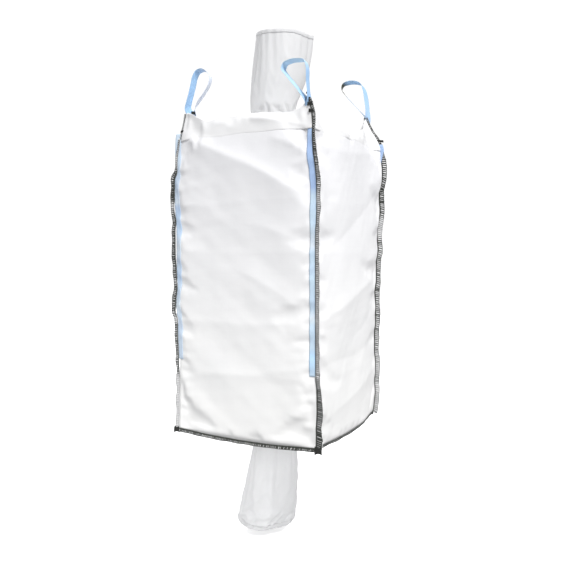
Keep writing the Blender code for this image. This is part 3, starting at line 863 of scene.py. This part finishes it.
def make_wall_cloth(walls):
    """Each wall from the floor up to where its edge is tucked inside the hem."""
    share = np.linspace(0, 1, WALL_COLS)
    rows = int(WALL_ROWS * TUCK_H / RIM_H)
    for name, points in walls.items():
        top = np.minimum(TUCK_H, points[-1, :, 2] - FLOOR_Z)
        heights = np.outer(np.linspace(0, 1, rows), top)
        heights[0] = points[0, :, 2] - FLOOR_Z
        uvs = np.stack(np.broadcast_arrays(share * 2 * HALF, heights), axis=-1)
        cloth = sheet_object(f"{name}_wall", wall_at(points, share, heights), uvs, WALL_CLOTH)
        squash_with_floor(piece(cloth, "walls", "bag_fabric", f"{name}_panel"))


def hem_grid(name, points):
    """A strip that wraps a wall's rim: up its outer face, over the edge and down the inner face."""
    out = OUTWARD[name]
    share = np.linspace(0, 1, points.shape[1])
    u = share * 2 * HALF
    top = points[-1, :, 2] - FLOOR_Z
    seed = 90 + list(WALLS).index(name)
    lower = HEM_LOW_H + 0.006 * ripples(u, 0 * u, 0.16, seed)
    over_webbing = np.exp(-((from_edge(u) - 0.026) / 0.034) ** 4)
    steps = np.linspace(0, 1, HEM_ROWS)
    slant = np.zeros((HEM_ROWS, len(u)))
    if name == "front":
        across = np.broadcast_to(u, slant.shape)
        slant = crease(across, lower + np.outer(steps, top - lower), HEM_SLANT, 0.007, 0.022, 0.022)
    rows = []
    for index, step in enumerate(steps):
        height = lower + (top - 0.003 - lower) * step
        rounded = math.sin(math.pi * step)
        swell = 0.0016 * rounded * (1 + 0.6 * ripples(u, 0 * u + step * 0.1, 0.11, seed + 4))
        gathers = 0.0012 * rounded * ripples(u * 0.5, height, 0.05, seed + 6)
        off = 0.0006 + 0.0038 * over_webbing + swell + gathers + slant[index]
        off -= (1 - over_webbing) * (0.0016, 0.0004, 0)[min(index, 2)]
        rows.append(wall_at(points, share, height) + out * off[:, None])
    rows.append(points[-1] + out * 0.0012 + UP * 0.0018)
    rows.append(points[-1] - out * 0.0012 + UP * 0.0014)
    for drop in np.linspace(0.003, 0.06, 7):
        rows.append(wall_at(points, share, top - drop) - out * (0.0012 + 0.0045 * over_webbing)[:, None])
    return np.array(rows)


def make_hems(walls):
    """The folded band round the rim. It covers the webbing and holds the walls' top edges."""
    for name, points in walls.items():
        strip = hem_grid(name, points)
        hem = sheet_object(f"{name}_rim_hem", strip, plain_uvs(strip), CLOTH, thick=0.0012)
        piece(hem, "walls", "bag_fabric", f"{name}_hem")


# ---------------------------------------------------------------- seams and tacks

class Seam:
    """A seam allowance that stands out from a line, with a slightly wavy free edge."""

    def __init__(self, line, way, wide, seed):
        self.line, self.place = line, running(line)
        self.run, self.out, self.side = directions(line, np.broadcast_to(way, line.shape))
        short, long, leaning = (
            ripples(self.place, 0 * self.place, size, seed + index)
            for index, size in enumerate((0.05, 0.4, 0.06))
        )
        self.width = wide * (1 + 0.09 * short + 0.08 * long)
        self.lean = 0.0034 * leaning

    def at(self, where, share, off):
        """Points on the fin: places along the seam, shares of its width, heights off its middle."""
        line, out, side = (read(where, self.place, values) for values in (self.line, self.out, self.side))
        width = np.interp(where, self.place, self.width)
        flop = np.interp(where, self.place, self.lean) * np.maximum(share, 0) ** 2
        return line + out * (width * share)[:, None] + side * (flop + off)[:, None]


def make_fin(name, seam, cloth, thick=0.0016):
    """Both panels' edges lying together."""
    points = np.stack([seam.at(seam.place, share, 0) for share in np.linspace(-0.06, 1, 7)], axis=1)
    uvs = np.stack(np.broadcast_arrays(np.linspace(0, 0.025, 7), seam.place[:, None]), axis=-1)
    obj = sheet_object(name, points, uvs, cloth, thick=thick)
    obj.modifiers["Thickness"].offset = 0
    return obj


def make_overlock(name, seam, seed, bold, pitch):
    """Overlock stitching: chained rails along the seam and the edge, and a thread over at each pitch."""
    rng = np.random.default_rng(seed)
    place = seam.place
    tone = np.broadcast_to(bold, place.shape)
    over = np.array([0.07, 0.3, 0.7, 0.96, 1.0, 0.96, 0.7, 0.3, 0.07])
    face = np.array([1.0, 1.0, 1.0, 0.8, 0.0, -0.8, -1.0, -1.0, -1.0])
    slant = np.array([0.0, 0.1, 0.22, 0.32, 0.36, 0.42, 0.55, 0.78, 1.0])
    parts = []
    for i in range(int(place[-1] / pitch)):
        start = (i + 0.2 + rng.uniform(-0.12, 0.12)) * pitch
        reach = 1 + rng.uniform(-0.12, 0.03)
        weight = rng.uniform(0.8, 1.2) * float(np.interp(start, place, tone))
        where = start + slant * pitch
        path = seam.at(where, over * reach, face * 0.0021)
        parts.append(tube_mesh(path, 0.0025 * weight, 0.001, read(where, place, seam.run)))
    where = np.arange(0, place[-1], pitch / 4)
    sideways = read(where, place, seam.out)
    for share, thickness, sway in ((0.08, 0.0026, 0.0006), (0.93, 0.0011, 0.0012)):
        swing = sideways * (sway * np.sin(2 * math.pi * where / pitch))[:, None]
        thick = thickness * (1 + 0.3 * np.cos(4 * math.pi * where / pitch)) * np.interp(where, place, tone)
        for off in (0.0019, -0.0019):
            parts.append(tube_mesh(seam.at(where, share, off) + swing, thick, 0.0014, sideways))
    return mesh_object(name, *join_parts(parts), material=THREAD)


def make_seam(stem, line, way, wide, seed, body, bold=1.0, pitch=0.0103, cloth=None, thick=0.0016):
    """A fin and its overlock stitching, riding on a body."""
    seam = Seam(line, way, wide, seed)
    fin = make_fin(f"{stem}_fin", seam, cloth or FIN_CLOTH, thick)
    thread = make_overlock(f"{stem}_overlock", seam, seed, bold, pitch)
    piece(fin, body, "spout_fabric" if cloth else "bag_fabric")
    return fin, piece(thread, body, "seam_thread")


def make_corner_seams():
    """Fins and stitches up each corner; above the tuck they are pieces of their own."""
    for index, (name, (sx, sy, top, _)) in enumerate(CORNERS.items()):
        inward, forward = FIN_SHIFTS[name]
        for part, low, high, more in (("seam", 0.0, TUCK_H, 0), ("ear_seam", TUCK_H, top - 0.004, 5)):
            heights = np.linspace(low, high, max(16, int((high - low) / 0.012)))
            wide, bold = (through(table[name], heights, steady=True) for table in (FIN_WIDTHS, STITCH_TONES))
            shifted = smoothstep(0.28, 0.4, heights)
            shift = (sx * (0.001 - inward * shifted), sy * forward * shifted, 0 * heights)
            line = corner_line(name, heights) + np.stack(shift, axis=-1)
            folded = name == "front_left" and part == "ear_seam"
            way = (-0.25, 1.0, 0.0) if folded else (sx, 0.12 * sy, 0.0)
            seed = 200 + 10 * index + more
            pieces = make_seam(
                f"{name}_{part}", line, way, wide, seed, "walls", bold, STITCH_PITCHES[name])
            if part == "seam":
                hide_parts(f"{name}_corner_seam")
                for obj in pieces:
                    squash_with_floor(obj)


def make_bottom_seams(walls):
    """Fins and stitches that hang below the floor's four edges."""
    for index, (name, points) in enumerate(walls.items()):
        wide, lean, bold = FLOOR_SEAMS[name]
        line = spline(points[0, ::6], 80)
        way = OUTWARD[name] * lean - UP
        fin, _ = make_seam(f"{name}_floor_seam", line, way, wide, 300 + 10 * index, "floor", bold)
        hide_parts(f"{name}_bottom_seam")


def zigzag(centre, across, wide, tall, turns, off, radius):
    """A bar tack: one thread that goes up and down across the webbing many times."""
    across = unit(np.array(across, float))
    normal = np.cross(across, UP)
    steps = np.arange(2 * turns + 1)
    x = (steps / steps[-1] - 0.5) * wide
    y = np.where(steps % 2 == 0, -0.5, 0.5) * tall
    path = spline(centre + np.outer(x, across) + np.outer(y, UP) + normal * off, 10 * turns)
    return tube_mesh(path, radius * 1.4, radius, np.broadcast_to(normal, path.shape))


def make_tacks():
    """Dense bars of dark thread: on each ear and loop, at each hem, and at the floor's corners."""
    for name, (sx, sy, top, _) in CORNERS.items():
        parts = {"loop_bar_tack": [], "hem_bar_tack": [], "loop_leg_tack": []}
        for index, (inset, height, wide, tall, turns) in enumerate(EAR_TACKS[name]):
            kind = "loop_bar_tack" if height < top + 0.01 else "loop_leg_tack"
            kind = "hem_bar_tack" if height < RIM_H + 0.025 else kind
            spot = corner_line(name, np.array([height]))[0] + (-sx * inset, sy * 0.0025, 0)
            slope = (sx, 0, 0.15 * (-1) ** index)
            for off in (0.0046, 0.006, -0.0046, -0.006):
                parts[kind].append(zigzag(spot, slope, wide, tall, turns, off, 0.0013))
        out, wide, tall = FLOOR_KNOTS[name]
        foot = corner_line(name, np.array([0.0]))[0] + (sx * out, sy * 0.001, -0.008)
        parts["floor_bar_tack"] = [
            zigzag(foot, (1, 0, 0.1 * n), wide - 0.002 * abs(n), tall - 0.001, 14, 0.0026 * n, 0.0019)
            for n in (-2, -1, 0, 1, 2)
        ]
        for kind, bars in parts.items():
            if bars:
                body, nodes = TACK_PLACES[kind]
                obj = mesh_object(f"{name}_{kind}", *join_parts(bars), material=BLACK_THREAD)
                piece(obj, body or f"{name}_loop", "seam_thread", *(f"{name}_{node}" for node in nodes))


# ---------------------------------------------------------------- webbing

def strap(name, middle, normal, material):
    """Flat closed webbing with rounded edges, from points along and across its middle layer."""
    across = np.linspace(0, WEBBING_WIDTH, STRAP_CELLS + 1)
    crown = 1 - 0.5 * np.abs(np.linspace(-1, 1, STRAP_CELLS + 1)) ** 8
    rise = normal * (WEBBING_THICK / 2 * crown)[:, None]
    grid = np.concatenate([middle + rise, (middle - rise)[:, ::-1]], axis=1)
    place = running(grid.mean(1))
    uvs = np.stack(np.broadcast_arrays(np.concatenate([across, across[::-1]]), place[:, None]), axis=-1)
    faces = closed_faces(*grid.shape[:2])
    return mesh_object(name, grid.reshape(-1, 3), faces, uvs.reshape(-1, 2), material)


def strap_share(name, wall, heights):
    """Where a strap's middle lies on its wall at each height, as a share of the wall's width."""
    across = sideways(wall)
    start, end = (corner_line(corner, heights) @ across for corner in WALLS[wall][:2])
    outward = CORNERS[name][0] * across[0]
    if name in STRAP_LINES:
        place = through(STRAP_LINES[name], heights) * outward
    else:
        shift = 0.026 * smoothstep(1.58, 1.68, heights) if name == "back_right" else 0
        place = corner_line(name, heights) @ across - outward * (0.0015 + WEBBING_WIDTH / 2 - shift)
    return (place - start) / (end - start)


def strap_on_wall(wall, points, middle, heights, off):
    """The middle layer of webbing laid on a wall. No fold of the wall cuts through it."""
    half = WEBBING_WIDTH / (4 * HALF)
    share = middle[:, None] + np.linspace(-half, half, STRAP_CELLS + 1)
    on_wall = np.clip(share, 0, 1)
    out = OUTWARD[wall]
    base = wall_at(points, on_wall, heights[:, None])
    base += ((share - on_wall) * 2 * HALF)[..., None] * sideways(wall)
    smooth = base.copy()
    for _ in range(2):
        smooth[1:-1] = (smooth[:-2] + smooth[1:-1] + smooth[2:]) / 3
    push = np.maximum(0, ((base - smooth) @ out) * np.sign(off))
    return smooth + out * (off + np.sign(off) * push)[..., None]


def make_legs(walls):
    """The sewn ends of each strap, one on each face of the front or back wall beside the corner."""
    for name, (sx, sy, _, _) in CORNERS.items():
        wall = "front" if sy < 0 else "back"
        low = LEG_BOTTOM_H + (-0.01 if sx > 0 else 0.02)
        heights = np.linspace(low, TUCK_H + 0.03, 150)
        share = strap_share(name, wall, heights)
        material = RIGHT_WEBBING if sx > 0 else LEFT_WEBBING
        for layer, sign in (("outer", 1), ("inner", -1)):
            middle = strap_on_wall(wall, walls[wall], share, heights, sign * (WEBBING_THICK / 2 + 0.0012))
            leg = strap(f"{name}_{layer}_sewn_leg", middle, OUTWARD[wall], material)
            squash_with_floor(piece(leg, "walls", "webbing", f"{name}_{layer}_leg"))


def make_loops():
    """Each strap's standing loop and sewn base, laid out round its hinge."""
    across = np.linspace(-0.5, 0.5, STRAP_CELLS + 1)[:, None] * WEBBING_WIDTH
    for name, route in LOOPS.items():
        sx, sy, _, _ = CORNERS[name]
        pivot = np.array(JOINTS[f"{name}_loop_swing"]["pos_m"])
        line = spline(np.array(route) * (1, 1, 1, 1e-4, 1e-4), 120)
        path = pivot + line[:, :3] * (-sx, sy, 1)
        yaw, tilt = np.radians(line[:, 3] * 1e4), np.radians(line[:, 4] * 1e4)
        flat = np.stack([-sx * np.sin(yaw), sy * np.cos(yaw), 0 * yaw], axis=-1)
        _, side, face = directions(path, flat * np.cos(tilt)[:, None] + np.outer(np.sin(tilt), UP))
        material = webbing_material(f"{name}_loop_webbing", LOOP_TONES[name], 0.9)
        middle = path[:, None] + side[:, None] * across
        obj = strap(f"{name}_webbing_loop", middle, face[:, None], material)
        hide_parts(f"{name}_loop", f"{name}_loop_base")
        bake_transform(obj)


# ---------------------------------------------------------------- top, floor and spouts

def spout_base(spec):
    """The middle of the hole that a spout is sewn round."""
    return np.array([spec["axis"][0][1], 0, FLOOR_Z + spec["base_h"]])


def closed_rim(walls):
    """A closed line just inside the four walls, a little below their rims."""
    share = np.linspace(0, 1, 33)[:-1]
    lines = []
    for name, points in walls.items():
        top = np.interp(share, np.linspace(0, 1, points.shape[1]), points[-1, :, 2]) - FLOOR_Z
        low = np.minimum(top - 0.03, TOP_H + 0.012)
        lines.append(wall_at(points, share, low) - OUTWARD[name] * TOP_INSET)
    line = np.concatenate(lines)
    centre = line.mean(0)
    return centre + (line - centre) * (1 - TOP_INSET, 1 - TOP_INSET, 1)


def make_top_and_floor(walls):
    """The top panel sags between its rim and the spout; the floor is pulled flatter."""
    picks = np.linspace(0, WALL_COLS - 1, 33).astype(int)[:-1]
    floor_rim = np.concatenate([points[0, picks] for points in walls.values()]) * (0.992, 0.992, 1.0)
    for name, spec in SPOUTS.items():
        top = spec["up"] > 0
        outer = closed_rim(walls) if top else floor_rim
        centre = spout_base(spec)
        inner = centre + unit((outer - centre) * (1, 1, 0)) * (HOLE_R + 0.001)
        share = np.linspace(0, 1, 26)[:, None]
        grid = outer * (1 - share[..., None]) + inner * share[..., None]
        sag, seed = (0.02, 600) if top else (0.008, 610)
        wave = ripples(grid[..., 0], grid[..., 1], 0.1, seed)
        spokes = np.cos(13 * np.arctan2(grid[..., 1], grid[..., 0] - centre[0]))
        grid[..., 2] += np.sin(math.pi * share) * (-sag + 0.006 * wave + 0.004 * spokes * share)
        pinned = np.zeros(grid.shape[:2], bool)
        pinned[[0, -1]] = True
        grid = settle(f"sim_{name}_panel", grid, pinned, limit=0.018, gravity=1.0, wrap=True)
        if top:
            grid = grid[:, ::-1]
        cloth = sheet_object(spec["panel"] + "_cloth", grid, grid[..., :2], CLOTH, wrap=True)
        piece(cloth, spec["body"], "bag_fabric", spec["panel"])


def spout_start(name):
    """A spout's sleeve: gathered where it is sewn on, then opening to a soft uneven mouth."""
    spec = SPOUTS[name]
    rough, seed = spec["crumpled"], spec["seed"]
    turn = np.linspace(-math.pi, math.pi, SPOUT_COLS, endpoint=False)
    length = through(spec["length"], (np.degrees(turn) + 152) % 360 - 152)
    down = np.outer(np.linspace(0, 1, SPOUT_ROWS), length)
    angle = turn[None, :] + 0 * down
    gather = np.exp(-down / 0.16)
    pleats = np.cos(17 * angle + 2.2 * ripples(angle * 0.15, down * 0, 0.12, seed))
    pleats += 0.6 * np.cos(26 * angle + 1.3 + 1.8 * ripples(angle * 0.15, down * 0, 0.1, seed + 1))
    x, y = np.cos(angle) * SLEEVE_R, np.sin(angle) * SLEEVE_R
    dents = 0.003 * gather * pleats
    dents += 0.0026 * (1 - gather) * ripples(x, y + down * 0.3, 0.04, seed + 2)
    dents += 0.0052 * smoothstep(0.15, 0.6, down) * ripples(x, y + down * 0.5, 0.12, seed + 3)
    dents += 0.0016 * smoothstep(0.02, 0.2, down) * ripples(x + 0.4 * down, y + down, 0.026, seed + 4)
    radius = through(spec["radius"], down) + rough * dents
    for place, spread, lift in ((-150, 16, 0.01), (27, 16, 0.01), (-105, 30, -0.005), (-15, 26, -0.005)):
        bump = np.exp(-((np.degrees(angle) - place) / spread) ** 2)
        radius += lift * smoothstep(0.1, 0.45, down) * bump
    x = through(spec["axis"], down) + radius * np.cos(angle)
    z = FLOOR_Z + spec["base_h"] + spec["up"] * down
    return np.stack([x, radius * np.sin(angle), z], axis=-1), down


def make_spouts():
    """Each spout's sleeve with its mouth hem and side seam, and the stitched ring that holds it."""
    for name, spec in SPOUTS.items():
        stem, body, cloth = f"{name}_spout", spec["body"], SPOUT_CLOTHS[name]
        start, down = spout_start(name)
        pinned = np.zeros(down.shape, bool)
        pinned[:2] = True
        pinned[-1, ::6] = True
        points = settle(
            f"sim_{name}", start, pinned, limit=0.014, slack=0.02, gravity=0.3, wrap=True)
        if spec["up"] < 0:
            points, down = points[:, ::-1], down[:, ::-1]
        girth = np.linspace(0, 2 * math.pi * SLEEVE_R, SPOUT_COLS, endpoint=False)
        uvs = np.stack(np.broadcast_arrays(girth, down), axis=-1)
        sleeve = sheet_object(f"{stem}_sleeve", points, uvs, cloth, wrap=True, thick=0.0007)
        normals = grid_normals(points)
        hem_rows = points[-4:] + normals[-4:] * 0.0007
        hem = sheet_object(f"{stem}_mouth_hem", hem_rows, uvs[-4:], cloth, wrap=True)
        back = int(np.argmax(points[20, :, 1]))
        line = spline(points[2:-4, back] + normals[2:-4, back] * 0.001, 60)
        side_seam = make_fin(f"{stem}_seam_fin", Seam(line, normals[30, back], 0.013, 430), cloth, 0.0012)
        base, up = spout_base(spec), UP * spec["up"]
        for obj, nodes in ((sleeve, ("neck", "tube")), (hem, ("hem",)), (side_seam, ("side_seam",))):
            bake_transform(obj)
            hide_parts(*(f"{stem}_{node}" for node in nodes))
        line = np.concatenate([points[1], points[1, :1]])
        way = spline(unit((line - base) * (1, 1, 0)) + up * 0.35, 140)
        ring, _ = make_seam(
            f"{stem}_ring", spline(line, 140), way, 0.015, 440, body, cloth=cloth, thick=0.0014)
        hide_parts(f"{stem}_seam_ring")


# ---------------------------------------------------------------- studio

def add_light(name, kind, power, towards, **values):
    """A light that shines from the given direction."""
    light = bpy.data.lights.new(name, kind)
    light.energy = power
    for key, value in values.items():
        setattr(light, key, value)
    obj = link(name, light)
    obj.rotation_euler = Vector(towards).to_track_quat("Z", "Y").to_euler()
    return obj


def light_only(light, chosen):
    """The light falls on the chosen meshes and on nothing else."""
    lit = bpy.data.collections.new(f"{light.name}_receivers")
    for obj in bpy.context.scene.objects:
        if obj.type == "MESH" and chosen(obj.name):
            lit.objects.link(obj)
    light.light_linking.receiver_collection = lit


def make_lights():
    """Soft daylight, one light near the floor, and soft lights of their own for the shaded spouts."""
    for name, towards, power, angle in SUNS:
        sun = add_light(name, "SUN", power, towards, angle=math.radians(angle))
        light_only(sun, lambda lit: not lit.startswith("discharge_spout_"))
    for index, (spout, towards, power, angle) in enumerate(SPOUT_LIGHTS):
        sun = add_light(f"{spout}_light_{index}", "SUN", power, towards, angle=math.radians(angle))
        stem = f"{spout}_spout_"
        light_only(sun, lambda lit: lit.startswith(stem) and not lit.endswith("overlock"))
    place = Vector((-1.0, -1.9, FLOOR_Z - 0.35))
    low = add_light("low_fill", "AREA", 6.5, place - Vector((-0.2, -0.45, FLOOR_Z + 0.4)), size=1.0)
    low.location = place
    low.visible_camera = False
    light_only(low, lambda lit: lit.startswith(("front_", "left_")))


def make_world():
    """Soft daylight from all round, and pure white behind the bag as the camera sees it."""
    world = bpy.data.worlds.new("studio")
    bpy.context.scene.world = world
    world.use_nodes = True
    nodes = Nodes(world)
    light, seen = (
        nodes.add("Background", ("Color", colour), ("Strength", strength)).outputs[0]
        for colour, strength in (((0.97, 0.975, 1, 1), 0.52), ((1, 1, 1, 1), 1.05))
    )
    by_camera = nodes.add("LightPath").outputs["Is Camera Ray"]
    mix = nodes.add("MixShader", (0, by_camera), (1, light), (2, seen))
    nodes.tree.links.new(mix.outputs[0], nodes.tree.nodes["World Output"].inputs["Surface"])
    bpy.context.scene.view_settings.view_transform = "Standard"


def make_floor():
    """A plain pale floor, just below the end of the discharge spout."""
    mesh = bpy.data.meshes.new("studio_floor")
    low, reach = CAD_BOX[0].z - 0.004, 14
    signs = ((-1, -1), (1, -1), (1, 1), (-1, 1))
    mesh.from_pydata([(reach * x, reach * y, low) for x, y in signs], [], [(0, 1, 2, 3)])
    floor = link("studio_floor", mesh)
    material, nodes = new_material("studio_floor", roughness=0.9, specular=0.1)
    nodes.shader.inputs["Base Color"].default_value = (0.97, 0.97, 0.97, 1)
    nodes.shader.inputs["Emission Color"].default_value = (1, 1, 1, 1)
    nodes.shader.inputs["Emission Strength"].default_value = 0.58
    mesh.materials.append(material)
    floor.visible_diffuse = False
    floor.visible_glossy = False


def make_camera():
    data = bpy.data.cameras.new("camera")
    data.lens = 41.9
    data.sensor_width = 36
    camera = link("camera", data)
    camera.location = (1.862, -3.536, FLOOR_Z + 1.024)
    camera.rotation_euler = (math.radians(90 - 2.46), 0, math.radians(27.83))
    bpy.context.scene.camera = camera


make_world()
make_floor()
make_camera()
walls = settled_walls()
make_wall_cloth(walls)
make_hems(walls)
make_corner_seams()
make_bottom_seams(walls)
make_tacks()
make_legs(walls)
make_loops()
make_top_and_floor(walls)
make_spouts()
make_lights()
